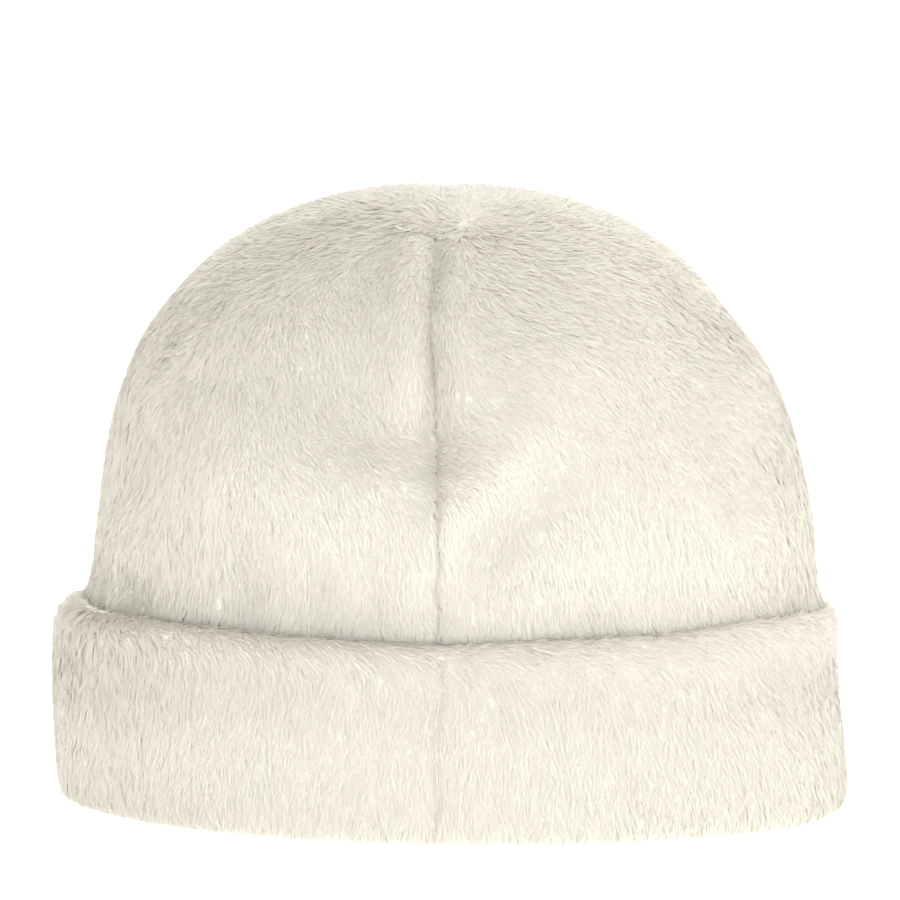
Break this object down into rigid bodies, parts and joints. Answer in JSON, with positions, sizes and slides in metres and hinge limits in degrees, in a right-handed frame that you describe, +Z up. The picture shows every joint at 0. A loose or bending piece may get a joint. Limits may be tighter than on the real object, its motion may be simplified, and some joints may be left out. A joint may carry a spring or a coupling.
{
  "type": "beanie",
  "caption": "Plush beanie for an adult, with a domed crown of sewn panels and a deep turned-up cuff that it stands on, open underneath for the head.",
  "frame": {"origin": "on the ground under the middle of the hat, at the centre of the cuff's flat base", "axes": "+Z up through the crown, +Y to the forehead, -Y to the centre-back seam, +X to the wearer's right"},
  "size_m": [0.22, 0.23, 0.1694],
  "materials": {
    "cream_plush": "brushed plush pile on a knitted backing, nearly matt"
  },
  "bodies": {
    "root": {"crown_back_left": "cream_plush", "crown_back_right": "cream_plush", "crown_front_left": "cream_plush", "crown_front_right": "cream_plush", "cuff": "cream_plush"}
  },
  "joints": []
}
